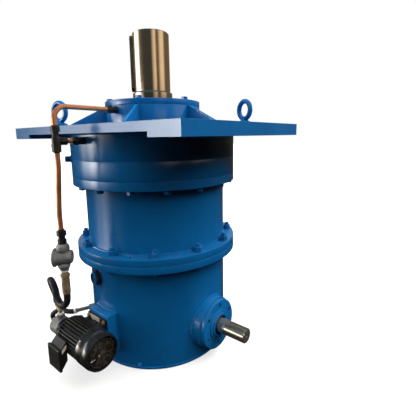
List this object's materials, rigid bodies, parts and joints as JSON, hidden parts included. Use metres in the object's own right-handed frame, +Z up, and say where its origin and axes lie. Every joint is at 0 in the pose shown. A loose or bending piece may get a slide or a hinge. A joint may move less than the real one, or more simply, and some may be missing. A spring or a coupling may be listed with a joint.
{
  "type": "cycloidal reducer",
  "caption": "Vertical cycloidal reducer, painted blue, with a right-angle input shaft, a thick keyed output shaft pointing up and a motor-driven oil pump beside its foot.",
  "frame": {"origin": "on the output axis, on the underside of the base cover", "axes": "+Z up the output shaft; +X along the input shaft, outwards; -Y towards the pump motor and the oil lines"},
  "size_m": [1.292, 1.1365, 1.723],
  "materials": {
    "blue_paint": "gloss",
    "bright_steel": "machined",
    "bearing_steel": "ground",
    "copper": "bright copper tube",
    "brass": "dull",
    "black_steel": "blackened",
    "motor_black": "semi-gloss",
    "cast_iron": "as cast, grey",
    "black_rubber": "smooth",
    "sight_glass": "clear over dark oil"
  },
  "bodies": {
    "housing": {"base_cover": "blue_paint", "boss_fitting": "black_steel", "boss_pipe": "copper", "drain_plug": "blue_paint", "drum_fitting": "black_steel", "drum_pipe": "copper", "drum_plug": "blue_paint", "flow_indicator": "cast_iron", "foot_bearing": "bearing_steel", "hose_ferrule": "brass", "indicator_glass": "sight_glass", "inlet_elbow": "brass", "inner_input_bearing": "bearing_steel", "input_cover": "blue_paint", "input_seal": "black_rubber", "left_eye_bolt": "blue_paint", "level_plug": "black_steel", "lower_housing": "blue_paint", "lower_output_bearing": "bearing_steel", "middle_housing": "blue_paint", "motor_end_shield": "motor_black", "motor_fan_cover": "motor_black", "motor_frame": "motor_black", "motor_stator": "cast_iron", "outer_input_bearing": "bearing_steel", "output_seal": "black_rubber", "pin_ring": "blue_paint", "pipe_tee": "black_steel", "pressure_hose": "black_rubber", "pump_adapter": "motor_black", "pump_body": "cast_iron", "pump_end_cover": "cast_iron", "pump_outlet_pipe": "brass", "right_eye_bolt": "blue_paint", "riser_fitting": "black_steel", "riser_pipe": "copper", "shaft_lid": "blue_paint", "suction_hose": "black_rubber", "suction_pipe": "bright_steel", "terminal_box": "motor_black", "terminal_lid": "motor_black", "upper_housing": "blue_paint", "upper_output_bearing": "bearing_steel", "upper_web_bearing": "bearing_steel"},
    "output": {"output_shaft": "bright_steel", "output_key": "bright_steel", "pilot_bearing": "bearing_steel"},
    "eccentric": {"eccentric_shaft": "bright_steel", "bevel_wheel": "bright_steel", "lower_eccentric_bearing": "bearing_steel", "upper_eccentric_bearing": "bearing_steel"},
    "lower_disc": {"lower_cycloid_disc": "bright_steel"},
    "upper_disc": {"upper_cycloid_disc": "bright_steel"},
    "input": {"input_shaft": "bright_steel", "bevel_pinion": "bright_steel"},
    "motor_rotor": {"motor_rotor": "bright_steel", "motor_fan": "motor_black", "pump_drive_gear": "bright_steel"},
    "pump_driven": {"pump_driven_gear": "bright_steel"}
  },
  "joints": [
    {"name": "output_spin", "type": "hinge", "parent": "housing", "child": "output", "pos_m": [0, 0, 1.4], "axis": [0, 0, 1], "continuous": true},
    {"name": "eccentric_spin", "type": "hinge", "parent": "housing", "child": "eccentric", "pos_m": [0, 0, 0.5], "axis": [0, 0, 1], "continuous": true},
    {"name": "lower_disc_spin", "type": "hinge", "parent": "eccentric", "child": "lower_disc", "pos_m": [0.014, 0, 0.997], "axis": [0, 0, 1], "continuous": true},
    {"name": "upper_disc_spin", "type": "hinge", "parent": "eccentric", "child": "upper_disc", "pos_m": [-0.014, 0, 1.041], "axis": [0, 0, 1], "continuous": true},
    {"name": "input_spin", "type": "hinge", "parent": "housing", "child": "input", "pos_m": [0.5, 0, 0.177], "axis": [1, 0, 0], "continuous": true},
    {"name": "motor_spin", "type": "hinge", "parent": "housing", "child": "motor_rotor", "pos_m": [0, -0.525, 0.188], "axis": [1, 0, 0], "continuous": true},
    {"name": "pump_driven_spin", "type": "hinge", "parent": "housing", "child": "pump_driven", "pos_m": [-0.209, -0.525, 0.156], "axis": [1, 0, 0], "continuous": true}
  ],
  "couplings": [
    {"joint": "eccentric_spin", "follows": "output_spin", "ratio": -11},
    {"joint": "lower_disc_spin", "follows": "output_spin", "ratio": 12},
    {"joint": "upper_disc_spin", "follows": "output_spin", "ratio": 12},
    {"joint": "input_spin", "follows": "output_spin", "ratio": 22},
    {"joint": "pump_driven_spin", "follows": "motor_spin", "ratio": -1}
  ]
}
